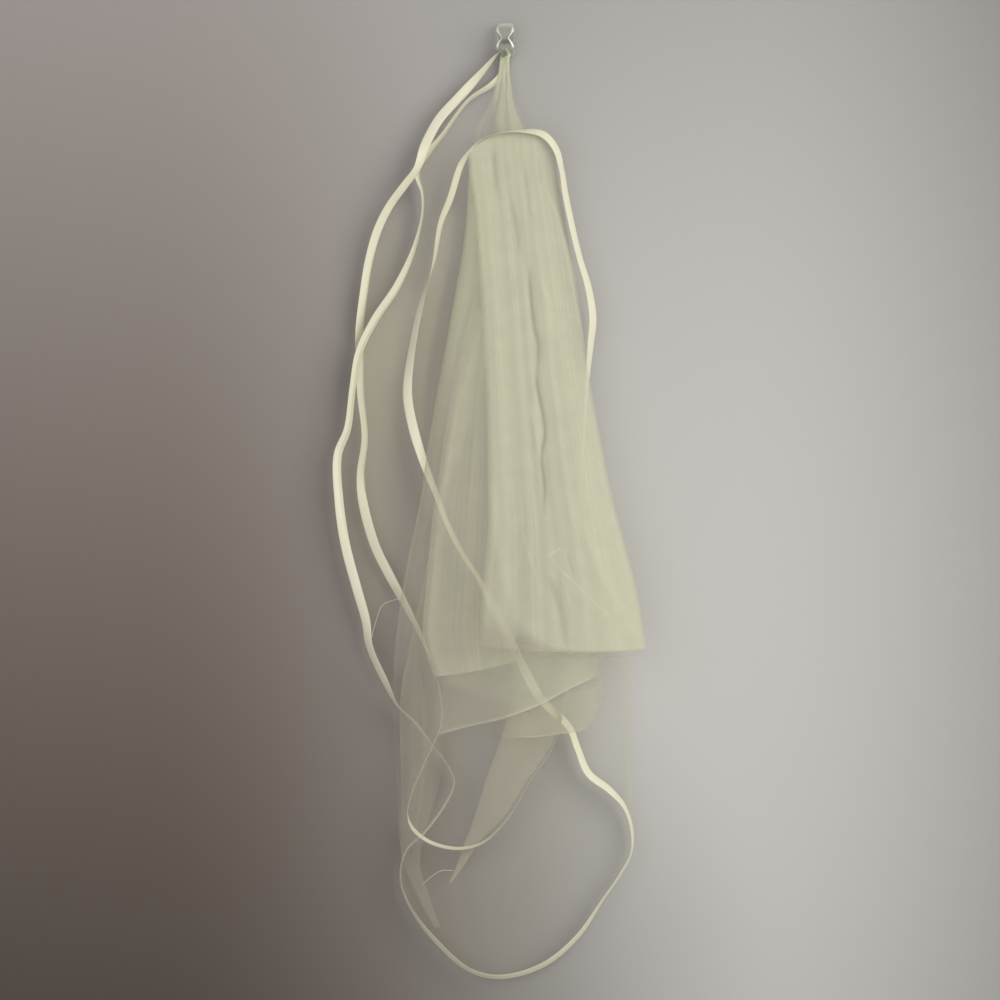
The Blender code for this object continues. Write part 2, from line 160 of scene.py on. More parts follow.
def add_point_layer(piece, name, values):
    """A value for each point of the piece, for its material to read."""
    layer = piece.data.attributes.new(name, "FLOAT", "POINT")
    layer.data.foreach_set("value", np.asarray(values).ravel().astype(np.float32))


def tube_faces(rows, columns):
    """Quads round and along a tube of sections with columns points each, and a cap at each end."""
    row, column = np.meshgrid(np.arange(rows - 1), np.arange(columns), indexing="ij")
    here = row * columns + column
    beside = row * columns + (column + 1) % columns
    quads = np.stack([here, beside, beside + columns, here + columns], axis=-1)
    first_cap = list(range(columns))[::-1]
    last_cap = list(range((rows - 1) * columns, rows * columns))
    return quads.reshape(-1, 4).tolist() + [first_cap, last_cap]


def hook_plate_points():
    """Four quarter circles centred a corner's radius inside a rectangle, scaled by the section."""
    turn = np.linspace(0, math.pi / 2, HOOK_CORNER_POINTS)
    start = np.arange(4)[:, None] * math.pi / 2
    side = np.array([1, -1, -1, 1])[:, None]
    top = HOOK_TOP - HOOK_CORNER
    bottom = HOOK_BOTTOM + HOOK_CORNER
    level = np.array([top, top, bottom, bottom])[:, None]
    x = (side * (HOOK_HALF_WIDTH - HOOK_CORNER) + HOOK_CORNER * np.cos(start + turn)).ravel()
    z = (level + HOOK_CORNER * np.sin(start + turn)).ravel()
    middle = (HOOK_TOP + HOOK_BOTTOM) / 2
    out, share = smooth_rows(PLATE_SECTION, count=36).T[:, :, None]
    return np.stack([x * share, -out + 0 * x, middle + (z - middle) * share], axis=-1)


def hook_arm_points():
    """Rounded boxes (superellipses of power 3) square to the arm's run, one for each section."""
    out, z, half_width, half_thick = smooth_rows(ARM_SECTION, count=90).T[:, :, None]
    run_out, run_z = np.gradient(out, axis=0), np.gradient(z, axis=0)
    length = np.hypot(run_out, run_z)
    angle = np.linspace(0, 2 * math.pi, ARM_SIDES, endpoint=False)
    across = np.sign(np.cos(angle)) * np.abs(np.cos(angle)) ** (2 / 3) * half_width
    thick = np.sign(np.sin(angle)) * np.abs(np.sin(angle)) ** (2 / 3) * half_thick
    y = -(out - thick * run_z / length)
    return np.stack([across, y, z + thick * run_out / length], axis=-1)


# Clear injection-moulded styrene: the wall shows through it where it is seen face on. The bright
# lines where its side rims catch the light are painted highlights, white and more solid, and the
# dark of its waist, where it bends the light away, is painted shade. The moulding leaves soft
# waves a few millimetres long in the surface.
clear_plastic, tree, shader = new_material(
    "clear_moulded_styrene", {"IOR": 1.57, "Specular IOR Level": 0.9, "Roughness": 0.08}
)
place = add_node(tree, "ShaderNodeTexCoord", {}).outputs["Object"]
waves = add_node(tree, "ShaderNodeTexNoise", {"Vector": place, "Scale": 170.0, "Detail": 2.0})
dents = {"Height": waves.outputs["Fac"], "Strength": 0.5, "Distance": 1.2 * MM}
dents = add_node(tree, "ShaderNodeBump", dents).outputs["Normal"]
tree.links.new(dents, shader.inputs["Normal"])
slope = add_node(tree, "ShaderNodeLayerWeight", {"Blend": 0.35, "Normal": dents}).outputs["Facing"]
clear = {"Value": slope, "From Min": 0.15, "From Max": 0.8, "To Min": 0.22, "To Max": 0.9}
clear = add_node(tree, "ShaderNodeMapRange", clear).outputs["Result"]
# Point layers of painted highlight on the rims and painted shade at the waist.
rim_highlight = add_node(tree, "ShaderNodeAttribute", {}, attribute_name="rim_highlight").outputs["Fac"]
waist_shade = add_node(tree, "ShaderNodeAttribute", {}, attribute_name="waist_shade").outputs["Fac"]
# The colour is whitened by the painted rim highlight and darkened by the painted waist shade.
colour = {0: rim_highlight, 6: linear("#B6BAA8"), 7: linear("#FFFFFA")}
colour = add_node(tree, "ShaderNodeMix", colour, data_type="RGBA").outputs[2]
colour = {0: waist_shade, 6: colour, 7: linear("#5C5B4C")}
colour = add_node(tree, "ShaderNodeMix", colour, data_type="RGBA").outputs[2]
tree.links.new(colour, shader.inputs["Base Color"])
alpha = add_node(tree, "ShaderNodeMath", {0: rim_highlight, 1: 0.85, 2: clear}, operation="MULTIPLY_ADD")
alpha = {0: waist_shade, 1: 0.75, 2: alpha.outputs["Value"]}
alpha = add_node(tree, "ShaderNodeMath", alpha, operation="MULTIPLY_ADD", use_clamp=True)
tree.links.new(alpha.outputs["Value"], shader.inputs["Alpha"])

points = hook_plate_points()
faces = tube_faces(*points.shape[:2])
hook_plate = add_piece("hook_plate", points, faces, clear_plastic)
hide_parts("wall_hook")

points = hook_arm_points()
faces = tube_faces(*points.shape[:2])
hook_arm = add_piece("hook_arm", points, faces, clear_plastic)
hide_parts("wall_hook")

# The arm's upright part is what stands further out than this. Painted highlights run along its
# two side rims between the heights below, over the outer part of its half width, a faint painted
# highlight lies across its head, and painted shade marks the waist between the side rims.
UPRIGHT_OUT = 13
SIDE_RIM_TOP = 9.5
SIDE_RIM_BOTTOM = -8
SIDE_RIM_START = 0.7
HEAD_RIM_LEVEL = 13.2
HEAD_RIM_HALF_WIDTH = 6.3
WAIST_LEVEL = -2.8
x, z = points[..., 0], points[..., 2]
upright = points[..., 1] < -UPRIGHT_OUT
side = np.abs(x) / np.abs(x).max(axis=1, keepdims=True)
rim_highlights = upright / (1 + np.exp((z - SIDE_RIM_TOP) / 1.2)) / (1 + np.exp((SIDE_RIM_BOTTOM - z) / 0.6))
head_rim_highlight = 0.32 * upright * np.exp(-(((z - HEAD_RIM_LEVEL) / 1.7) ** 2))
head_rim_highlight *= np.abs(x) < HEAD_RIM_HALF_WIDTH
waist_shade = rim_highlights * np.exp(-(((z - WAIST_LEVEL) / 3.2) ** 2)) * (side < SIDE_RIM_START)
# The painted highlight and the painted shade are stored as point layers on the arm.
add_point_layer(hook_arm, "rim_highlight", rim_highlights * np.clip((side - SIDE_RIM_START) / 0.15, 0, 1) + head_rim_highlight)
add_point_layer(hook_arm, "waist_shade", waist_shade)


# Satin ribbon. Nine-millimetre double-faced satin ribbon sewn flat over the net's cut edge, in
# one run: off the hook, down and round the short tier, over the arch, down and round the long
# tier and back to the hook. It twists where the net lets it hang free.
RIBBON_HALF_WIDTH = 4.5
RIBBON_HALF_THICK = 0.2
RIBBON_CUP = 0.35
RIBBON_STEP = 2.5

# The ribbon's route. Columns: x, z, out, turn. A turn of 0 or 180 shows a face of the ribbon to
# the room, and 90 shows its edge.
RIBBON_ROUTE = {
    "ribbon_short_left": [
        (-0.9, -7.2, 8.5, 104),
        (-8, -14.5, 8.5, 80),
        (-23, -32, 10, 50),
        (-42, -53, 13, 8),
        (-61, -74, 16, -6),
        (-74, -98, 19, 2),
        (-82, -121, 20, 44),
        (-94, -137, 18, 40),
        (-108, -156, 14, 37),
        (-119, -178, 12, 32),
        (-127, -206, 10, 34),
        (-132, -236, 9, 37),
        (-136, -271, 8, 34),
        (-136, -292, 8, 35),
        (-135, -330, 8, 46),
        (-131, -372, 8, 50),
        (-135, -406, 8, 40),
        (-133, -431, 8, 18),
        (-122, -472, 8, -6),
        (-109, -499, 8, -12),
        (-94, -527, 9, -42),
        (-79, -557, 13, -62),
        (-66, -588, 17, -85),
        (-60, -616, 19, -82),
        (-60, -640, 20, -82),
    ],
    "ribbon_short_hem": [
        (-66, -655, 20, -82),
        (-77, -679, 19, -82),
        (-86, -700, 18, -83),
        (-91, -720, 18, -88),
        (-87, -735, 21, -106),
        (-70, -749, 21, -107),
        (-43, -755, 21, -104),
        (-20, -749, 21, -100),
        (3, -726, 22, -98),
        (24, -690, 23, -96),
    ],
    "ribbon_short_right": [
        (42, -664, 23, -98),
        (54, -630, 23, -90),
        (60, -590, 20, -86),
        (66, -500, 18, -85),
        (72, -400, 16, -80),
        (77, -320, 16, -65),
        (80, -285, 18, -48),
        (82, -261, 20, -38),
        (78, -233, 23, -44),
        (70, -206, 26, -50),
        (64, -182, 28, -50),
        (56, -144, 31, -50),
        (53, -124, 32, -56),
        (47, -103, 33, -44),
    ],
    "ribbon_arch": [
        (35, -90, 33, -40),
        (14, -87, 33, -68),
        (-5, -89, 33, -84),
        (-22, -95, 32, -92),
        (-33, -106, 31, -108),
    ],
    "ribbon_long_right": [
        (-41, -118, 29, -126),
        (-51, -149, 26, -130),
        (-60, -172, 24, -122),
        (-67, -210, 22, -104),
        (-78, -246, 21, -58),
        (-87, -290, 21, -42),
        (-91, -330, 21, -15),
        (-87, -357, 21, -2),
        (-76, -394, 21, 32),
        (-66, -420, 20, 52),
        (-52, -456, 19, 58),
        (-39, -481, 19, 60),
        (-24, -504, 19, 60),
        (9, -570, 18, -30),
        (33, -615, 18, 25),
        (60, -642, 18, 46),
        (68, -662, 17, 48),
        (78, -685, 16, 42),
        (98, -701, 14, 49),
        (112, -717, 13, 65),
    ],
    "ribbon_long_hem": [
        (119, -740, 12, 71),
        (118, -760, 12, 76),
        (109, -778, 12, 71),
        (92, -803, 11, 71),
        (67, -839, 11, 57),
        (35, -865, 11, 53),
        (-5, -876, 11, 55),
        (-34, -869, 11, 59),
        (-66, -841, 11, 58),
        (-88, -812, 12, 72),
        (-97, -790, 12, 79),
        (-97, -770, 13, 82),
    ],
    "ribbon_long_left": [
        (-91, -755, 14, 82),
        (-76, -741, 14, 80),
        (-60, -720, 14, 78),
        (-50, -702, 14, 78),
        (-48, -690, 14, 82),
        (-57, -673, 14, 84),
        (-69, -658, 14, 78),
        (-85, -637, 14, 74),
        (-100, -623, 14, 76),
        (-112, -600, 14, 48),
        (-127, -566, 14, 42),
        (-130, -543, 14, 22),
        (-138, -514, 15, 8),
        (-149, -472, 15, -4),
        (-155, -430, 15, -22),
        (-156, -388, 15, -30),
        (-147, -364, 15, -42),
        (-142, -325, 16, -50),
        (-136, -292, 16, -42),
        (-121, -261, 16, -37),
        (-101, -231, 16, -42),
        (-85, -196, 16, -63),
        (-77, -164, 15, -76),
        (-77, -144, 14, -73),
        (-82, -124, 12, -58),
        (-72, -106, 12, -55),
        (-59, -90, 12, -68),
        (-34, -57, 14, -72),
        (-14, -43, 7, -58),
        (-4, -34, 3.6, -40),
        (-0.6, -26, 2.8, -32),
        (-0.2, -20, 2.8, -30),
        (1.4, -16.2, 4.2, -48),
        (3.2, -12.6, 7.8, -76),
        (0.4, -7, 8.5, -76),
    ],
}


def smooth_route(table, step):
    """Points about a step apart on a centripetal Catmull-Rom curve through the table's rows."""
    rows = np.array(table, float)
    ends = np.vstack([2 * rows[0] - rows[1], rows, 2 * rows[-1] - rows[-2]])
    route = []
    for p0, p1, p2, p3 in zip(ends, ends[1:], ends[2:], ends[3:]):
        gaps = [np.linalg.norm(b[:3] - a[:3]) for a, b in ((p0, p1), (p1, p2), (p2, p3))]
        t0, t1, t2, t3 = np.cumsum([0.0, *np.sqrt(gaps)])
        pieces = max(1, round(gaps[1] / step))
        t = (t1 + (t2 - t1) * np.arange(pieces) / pieces)[:, None]
        a1 = p0 + (p1 - p0) * (t - t0) / (t1 - t0)
        a2 = p1 + (p2 - p1) * (t - t1) / (t2 - t1)
        a3 = p2 + (p3 - p2) * (t - t2) / (t3 - t2)
        b1 = a1 + (a2 - a1) * (t - t0) / (t2 - t0)
        b2 = a2 + (a3 - a2) * (t - t1) / (t3 - t1)
        route.append(b1 + (b2 - b1) * (t - t1) / (t2 - t1))
    return np.vstack([*route, ends[-2]])


def ribbon_points(route, half_width, half_thick, cup):
    """The ribbon's section, a thin band with a slight cup, carried along the route and turned.

    Across the width the band stands out by the cup times one minus the square of the place, and
    its thickness falls away at the edges by the twelfth power of the place.
    """
    centre = np.stack([route[:, 0], -route[:, 2], route[:, 1]], axis=1)
    run = np.gradient(centre, axis=0)
    run /= np.linalg.norm(run, axis=1, keepdims=True)
    side = np.cross(run, [0.0, 1.0, 0.0])
    side /= np.linalg.norm(side, axis=1, keepdims=True)
    turn = np.radians(route[:, 3])[:, None]
    width = side * np.cos(turn) + np.cross(side, run) * np.sin(turn)
    face = np.cross(run, width)
    place = np.array([-1, -0.97, -0.85, -0.55, -0.2, 0.2, 0.55, 0.85, 0.97, 1])
    edge = half_thick * np.sqrt(np.clip(1 - np.abs(place) ** 12, 0.05, 1))
    bow = cup * (1 - place**2) - cup * 0.6
    place = np.concatenate([place, place[::-1]])[:, None]
    height = np.concatenate([bow + edge, (bow - edge)[::-1]])[:, None]
    points = centre[:, None] + width[:, None] * place * half_width + face[:, None] * height
    length = np.cumsum(np.linalg.norm(np.diff(centre, axis=0, prepend=centre[:1]), axis=1))
    flat = np.broadcast_arrays(length[:, None], (place * half_width).T)
    return points, np.stack(flat, axis=-1)


def set_flat_map(piece, flat):
    """Gives each corner of the piece the place of its point on the flat cloth, in metres."""
    mesh = piece.data
    corner = np.empty(len(mesh.loops), np.int32)
    mesh.loops.foreach_get("vertex_index", corner)
    layer = mesh.uv_layers.new(name="flat")
    layer.data.foreach_set("uv", (flat.reshape(-1, 2)[corner] * MM).ravel())


# Ivory polyester satin: the long floats of its threads run along the ribbon and give it a soft
# sheen drawn out across it. The two woven edges are a little tighter and darker. The threads
# are 0.1 mm apart, too fine to show, and are drawn at 0.45 mm.
THREADS_PER_METRE = 2200.0
FLOATS_PER_METRE = 40.0
satin, tree, shader = new_material(
    "woven_ivory_satin",
    {"Specular IOR Level": 0.45, "Sheen Weight": 0.25, "Sheen Roughness": 0.35, "IOR": 1.5},
)
flat = add_node(tree, "ShaderNodeUVMap", {}, uv_map="flat").outputs["UV"]
across = add_node(tree, "ShaderNodeSeparateXYZ", {"Vector": flat}).outputs["Y"]
across = add_node(tree, "ShaderNodeMath", {0: across}, operation="ABSOLUTE").outputs["Value"]
edge = {"Value": across, "From Min": 3.6 * MM, "From Max": 4.2 * MM}
edge = add_node(tree, "ShaderNodeMapRange", edge).outputs["Result"]
drawn_out = {"Vector": flat, "Scale": (FLOATS_PER_METRE, THREADS_PER_METRE, 1.0)}
drawn_out = add_node(tree, "ShaderNodeMapping", drawn_out).outputs["Vector"]
threads = {"Vector": drawn_out, "Scale": 1.0, "Detail": 2.0, "Roughness": 0.6}
threads = add_node(tree, "ShaderNodeTexNoise", threads).outputs["Fac"]
shade = add_node(tree, "ShaderNodeMapRange", {"Value": threads, "To Min": -0.12, "To Max": 0.22})
shade = add_node(tree, "ShaderNodeMath", {0: shade.outputs["Result"], 1: edge}, operation="ADD")
colour = {6: linear("#ECEAD2"), 7: linear("#DAD7BB"), 0: shade.outputs["Value"]}
colour = add_node(tree, "ShaderNodeMix", colour, data_type="RGBA")
tree.links.new(colour.outputs[2], shader.inputs["Base Color"])
gloss = add_node(tree, "ShaderNodeMapRange", {"Value": threads, "To Min": 0.34, "To Max": 0.5})
tree.links.new(gloss.outputs["Result"], shader.inputs["Roughness"])
weave = add_node(tree, "ShaderNodeBump", {"Height": threads, "Strength": 0.35, "Distance": 0.2 * MM})
tree.links.new(weave.outputs["Normal"], shader.inputs["Normal"])

route = smooth_route([row for rows in RIBBON_ROUTE.values() for row in rows], RIBBON_STEP)
points, flat = ribbon_points(route, RIBBON_HALF_WIDTH, RIBBON_HALF_THICK, RIBBON_CUP)
faces = tube_faces(*points.shape[:2])
ribbon = add_piece("satin_ribbon", points, faces, satin)
set_flat_map(ribbon, flat)
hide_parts(*RIBBON_ROUTE)


# Tulle between the hook and the arch. The gathered end of the net hangs over the hook's arm in
# tight soft pleats, which spread into a narrow neck above the front tier.
# Columns: left x, left z, right x, right z, rise in the middle, out, pleat depth.
NECK_ROWS = [
    (-3.2, -9.5, 2.8, -9.5, 0, 6.5, 0.8),
    (-4.5, -16, 3.8, -16, 0, 6.5, 1.0),
    (-7.5, -37, 5.2, -37, 0, 7, 1.8),
    (-15, -60, 9, -60, 0, 9, 2.6),
    (-30, -88, 20, -88, 0, 11, 3.6),
    (-30, -125, 34, -125, 0, 12, 4.0),
]


def pleat_wave(u, pleats, wander):
    """A sine across the sheet. A slower sine shifts its pleats, and another sets their depth."""
    phase = pleats * u + wander * np.sin(2 * math.pi * 1.7 * u + 0.8)
    depth = 0.78 + 0.22 * np.sin(2 * math.pi * 2.3 * u + 1.9)
    return depth * np.sin(2 * math.pi * phase)


def pleated_grid(table, rows, columns, pleats, wander, relief):
    """A sheet ruled from left to right edge, pushed out by a share of its pleat depth.

    x and z run evenly from the left edge to the right one, z rises by a parabola in the middle,
    and the distance from the wall adds the pleat wave.
    """
    left_x, left_z, right_x, right_z, rise, out, depth = smooth_rows(table, rows).T[:, :, None]
    u = np.linspace(0, 1, columns)
    x = left_x + (right_x - left_x) * u
    z = left_z + (right_z - left_z) * u + rise * (1 - (2 * u - 1) ** 2)
    out = out + relief * depth * pleat_wave(u, pleats, wander)
    return np.stack([x, -out, z], axis=-1)


def closeness(grid, path, width):
    """How near each point is, seen from the room, to a smooth curve through the path's points.

    It is 1 on the curve and falls as a bell curve of the width, and fades out at both ends.
    """
    curve = smooth_rows(path, 24)
    start, step = curve[:-1], np.diff(curve, axis=0)
    gap = grid[..., None, ::2] - start
    share = np.clip((gap * step).sum(-1) / (step**2).sum(-1), 0, 1)
    distance = np.linalg.norm(gap - share[..., None] * step, axis=-1)
    nearest = distance.argmin(-1)[..., None]
    along = (nearest + np.take_along_axis(share, nearest, -1))[..., 0] / len(step)
    fade = np.clip(np.minimum(along, 1 - along) * 5, 0, 1)
    return fade * np.exp(-((distance.min(-1) / width) ** 2))


def fine_pleats(rows, columns, seed, count, narrow, wide, slant=0.03):
    """Many faint narrow pleats fanning down the sheet, as a sum of bell curves across it.

    Each has its own place, slant, width, strength and start and end, from a seeded generator.
    """
    pick = np.random.default_rng(seed)
    v = np.linspace(0, 1, rows)[:, None, None]
    u = np.linspace(0, 1, columns)[None, :, None]
    place = pick.uniform(0.02, 0.98, count) + pick.normal(0, slant, count) * (v - 0.5)
    width = pick.uniform(narrow, wide, count)
    strength = pick.uniform(0.35, 1.0, count) * pick.choice([-0.8, 1.0, 1.0], count)
    middle, reach = pick.uniform(0.0, 1.0, count), pick.uniform(0.25, 0.7, count)
    window = np.exp(-(((v - middle) / reach) ** 4))
    return (strength * window * np.exp(-(((u - place) / width) ** 2))).sum(-1)


def soft_step(value, middle, width):
    """A logistic curve, from 0 well below the middle to 1 well above it."""
    return 1 / (1 + np.exp((middle - value) / width))


def smooth_share(share):
    """The share held between 0 and 1: three times its square less twice its cube."""
    share = np.clip(share, 0, 1)
    return share**2 * (3 - 2 * share)


def flat_cloth(grid):
    """The place of each point on the flat cloth: distances across from the middle, and down."""
    across = np.linalg.norm(np.diff(grid, axis=1, prepend=grid[:, :1]), axis=-1).cumsum(1)
    across -= across[:, across.shape[1] // 2, None]
    down = np.linalg.norm(np.diff(grid, axis=0, prepend=grid[:1]), axis=-1).cumsum(0)
    return np.stack([across, down], axis=-1)


def soft_normals(grid, reach):
    """Normals across the sheet, each averaged over its neighbours within the reach.

    Light spreads between the threads and layers of a net, so its narrow pleats hardly shade.
    """
    down, across = np.gradient(grid, axis=0), np.gradient(grid, axis=1)
    normal = np.cross(down, across)
    normal /= np.linalg.norm(normal, axis=-1, keepdims=True) + 1e-12
    for axis in (0, 1):
        ends = [(0, 0), (0, 0), (0, 0)]
        ends[axis] = (reach + 1, reach)
        total = np.pad(normal, ends, mode="edge").cumsum(axis)
        count = total.shape[axis]
        late = np.take(total, np.arange(2 * reach + 1, count), axis)
        early = np.take(total, np.arange(0, count - 2 * reach - 1), axis)
        normal = (late - early) / (2 * reach + 1)
    return normal / (np.linalg.norm(normal, axis=-1, keepdims=True) + 1e-12)


def sheet_faces(rows, columns):
    """Quads between neighbouring points of a grid.

    They face a viewer who sees its rows run downwards and its columns run to the right.
    """
    here = (np.arange(rows - 1)[:, None] * columns + np.arange(columns - 1)).ravel()
    return np.stack([here, here + columns, here + columns + 1, here + 1], axis=-1).tolist()


def add_net(name, grid, cover, turns=()):
    """A sheet of net through a grid of points, with the share of light that each point stops.

    Its faces look to the room where the grid runs left to right and downwards. The turns are
    the rows where it doubles back, and no light is averaged across them.
    """
    piece = add_piece(name, grid, sheet_faces(*grid.shape[:2]), tulle)
    set_flat_map(piece, flat_cloth(grid))
    add_point_layer(piece, "cover", np.clip(np.broadcast_to(cover, grid.shape[:2]), 0, 1))
    parts = [soft_normals(part, reach=8) for part in np.split(grid, turns)]
    normals = np.concatenate(parts).reshape(-1, 3)
    piece.data.normals_split_custom_set_from_vertices(normals.tolist())
    return piece


# Soft ivory nylon tulle: a matt net of fine threads with six-sided holes, sheer in one layer
# and nearly solid where pleats lie over each other. The holes are 1.2 mm apart, too fine to
# show, and are drawn at 1.8 mm. Three waves 60 degrees apart add up to a six-sided lattice.
# Light that meets a thread is mostly passed on, so the net's shadow is weaker than its cover.
# The net's density varies by a few per cent from place to place.
NET_HOLE = 1.8 * MM
NET_SHADOW = 0.4

# A wave texture of scale 1 has its bands this far apart.
BAND_SPACING = 2 * math.pi / 20
tulle, tree, shader = new_material(
    "soft_ivory_tulle",
    {"Roughness": 0.85, "Specular IOR Level": 0.15, "Sheen Weight": 0.12, "IOR": 1.53},
)
flat = add_node(tree, "ShaderNodeUVMap", {}, uv_map="flat").outputs["UV"]
lattice = None
for angle in (0, 60, 120):
    turned = {"Vector": flat, "Rotation": (0.0, 0.0, math.radians(angle))}
    turned = add_node(tree, "ShaderNodeMapping", turned).outputs["Vector"]
    wave = {"Vector": turned, "Scale": BAND_SPACING / (NET_HOLE * math.sqrt(3) / 2)}
    wave = add_node(tree, "ShaderNodeTexWave", wave, bands_direction="X").outputs["Fac"]
    if lattice is None:
        lattice = wave
    else:
        lattice = add_node(tree, "ShaderNodeMath", {0: lattice, 1: wave}, operation="ADD").outputs[0]
threads = {"Value": lattice, "From Min": 0.75, "From Max": 2.4, "To Min": 1.06, "To Max": 0.92}
threads = add_node(tree, "ShaderNodeMapRange", threads).outputs["Result"]
cover = add_node(tree, "ShaderNodeAttribute", {}, attribute_name="cover").outputs["Fac"]
uneven = add_node(tree, "ShaderNodeTexCoord", {}).outputs["Object"]
uneven = {"Vector": uneven, "Scale": 55.0, "Detail": 3.0, "Roughness": 0.6}
uneven = add_node(tree, "ShaderNodeTexNoise", uneven).outputs["Fac"]
uneven = {"Value": uneven, "From Min": 0.25, "From Max": 0.75, "To Min": 0.92, "To Max": 1.08}
uneven = add_node(tree, "ShaderNodeMapRange", uneven).outputs["Result"]
threads = add_node(tree, "ShaderNodeMath", {0: threads, 1: uneven}, operation="MULTIPLY")
alpha = {0: cover, 1: threads.outputs[0]}
alpha = add_node(tree, "ShaderNodeMath", alpha, operation="MULTIPLY", use_clamp=True).outputs[0]
lamp_ray = add_node(tree, "ShaderNodeLightPath", {}).outputs["Is Shadow Ray"]
passed = {"Value": lamp_ray, "To Min": 1.0, "To Max": NET_SHADOW}
passed = add_node(tree, "ShaderNodeMapRange", passed).outputs["Result"]
alpha = add_node(tree, "ShaderNodeMath", {0: alpha, 1: passed}, operation="MULTIPLY")
tree.links.new(alpha.outputs[0], shader.inputs["Alpha"])
colour = {0: cover, 6: linear("#C5BFA9"), 7: linear("#CED0B6")}
colour = add_node(tree, "ShaderNodeMix", colour, data_type="RGBA")
tree.links.new(colour.outputs[2], shader.inputs["Base Color"])
knots = add_node(tree, "ShaderNodeBump", {"Height": lattice, "Strength": 0.2, "Distance": 0.2 * MM})
tree.links.new(knots.outputs["Normal"], shader.inputs["Normal"])

# The neck is densest near the hook, thin at its left and in its crease, and fades out behind the
# arch.
rows, columns = 120, 70
grid = pleated_grid(NECK_ROWS, rows, columns, pleats=3, wander=0.1, relief=0.6)
pleats = fine_pleats(rows, columns, seed=3, count=12, narrow=0.02, wide=0.06)
gathered = closeness(grid, [(-0.6, -8), (-0.2, -18), (0.8, -32), (2, -50)], 1.5)
grid[..., 1] -= 0.6 * pleats - 1.4 * gathered
x = grid[..., 0]
body = soft_step(x + 0.06 * grid[..., 2], -12.0, 1.2)
cover = 0.2 + 0.42 * body + 0.07 * pleats - 0.15 * gathered + 0.25 * soft_step(grid[..., 2], -42, 6)
cover *= smooth_share((grid[..., 2] + 124) / 22)
neck = add_net("tulle_neck_net", grid, cover)
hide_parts("tulle_neck")


# Tulle of the long tier. The net's lower tier hangs behind everything else in one sheer layer,
# out to the ribbon that edges it.
LONG_ROWS = [
    (-4, -30, 3, -30, 0, 3.2, 0.3),
    (-12, -60, 12, -60, 0, 3.6, 0.5),
    (-20, -88, 24, -88, 0, 4.2, 0.8),
    (-22, -115, 40, -115, 0, 5, 1.0),
    (-25, -200, 52, -200, 0, 5.5, 1.5),
    (-40, -300, 64, -300, 0, 6, 1.8),
    (-60, -420, 80, -420, 0, 6, 2.0),
    (-75, -500, 100, -500, 0, 6, 2.0),
    (-90, -571, 112, -571, 0, 6.5, 2.0),
    (-98, -619, 115, -619, 0, 6.5, 2.0),
    (-97, -700, 119, -700, 0, 6.5, 1.6),
    (-97, -740, 119, -740, 0, 6.5, 1.2),
    (-97, -760, 118, -760, 0, 6.5, 1.0),
    (-97, -782, 107, -782, 0, 6.5, 1.0),
    (-92, -803, 92, -803, 0, 6.5, 1.0),
    (-81, -822, 80, -822, 0, 6.5, 1.0),
    (-66, -841, 66, -841, 0, 6.5, 0.8),
    (-51, -856, 49, -856, 0, 6.5, 0.6),
    (-37, -867, 32, -867, 0, 6.5, 0.4),
    (-14, -875, 12, -875, 0, 6.5, 0.3),
]

# The long tier is a little denser at its two edges, down its upper left and where it bunches
# behind the feet of the other tier. Below the front tier its right edge shows as a line.
rows, columns = 300, 110
grid = pleated_grid(LONG_ROWS, rows, columns, pleats=4, wander=0.2, relief=1.0)
pleats = fine_pleats(rows, columns, seed=5, count=14, narrow=0.01, wide=0.03)
grid[..., 1] -= 0.5 * pleats
u = np.linspace(0, 1, columns)
edges = np.abs(2 * u - 1) ** 40
x, z = grid[..., 0], grid[..., 2]
bunched = soft_step(z, -668, 7) * soft_step(-z, 520, 20) * soft_step(-x, -62, 9)
left = soft_step(-x, -20, 30) * soft_step(z, -560, 25)
right_edge = u**60 * soft_step(-z, 565, 8)
cover = 0.09 + 0.08 * left + 0.03 * pleats + 0.1 * edges + 0.08 * bunched + 0.2 * right_edge
long_tier = add_net("tulle_long_tier_net", grid, cover)
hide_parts("tulle_long_tier")


# Sheer webs. Single net runs from three stretches of the ribbon in to the folds of the body.
# Columns: z, far x, out at the ribbon, out at the folds.
WEB_ROWS = {
    "tulle_short_left": (
        "ribbon_short_left",
        [
            (-148, -90, 14, 10),
            (-168, -84, 11.5, 6.5),
            (-206, -66, 9, 5.5),
            (-236, -54, 8, 5.5),
            (-292, -54, 7, 5.5),
            (-330, -60, 7, 5.5),
            (-372, -68, 7, 5.5),
            (-431, -77, 7, 5.5),
            (-472, -85, 7, 5.5),
            (-499, -89, 7, 5.5),
        ],
    ),
    "tulle_long_left": (
        "ribbon_long_left",
        [
            (-64, -25, 12, 12),
            (-72, -22, 12, 12),
            (-90, -31, 12, 12),
            (-106, -34, 12, 12),
            (-144, -35, 13, 13),
            (-196, -38, 14, 13),
            (-231, -43, 15, 13),
            (-261, -48, 15.5, 14),
            (-292, -54, 16, 14),
            (-325, -60, 16, 14),
            (-388, -71, 15, 14),
            (-430, -77, 15, 14),
            (-472, -85, 15, 14),
            (-514, -93, 15, 14),
            (-543, -97, 14, 14),
            (-566, -99, 14, 14),
        ],
    ),
    "tulle_long_right": (
        "ribbon_long_right",
        [
            (-152, -34, 25, 18),
            (-172, -35, 23, 18),
            (-210, -39, 21, 18),
            (-246, -46, 20, 18),
            (-290, -54, 20, 18),
            (-330, -61, 20, 18),
            (-357, -66, 20, 18),
            (-394, -70, 20, 18),
        ],
    ),
}

# What shows of each web, laid flat, in metres and square metres: its width, length and area.
WEB_CUT = {
    "tulle_short_left": (0.083, 0.363, 0.0212),
    "tulle_long_left": (0.085, 0.536, 0.0297),
    "tulle_long_right": (0.033, 0.249, 0.0066),
}


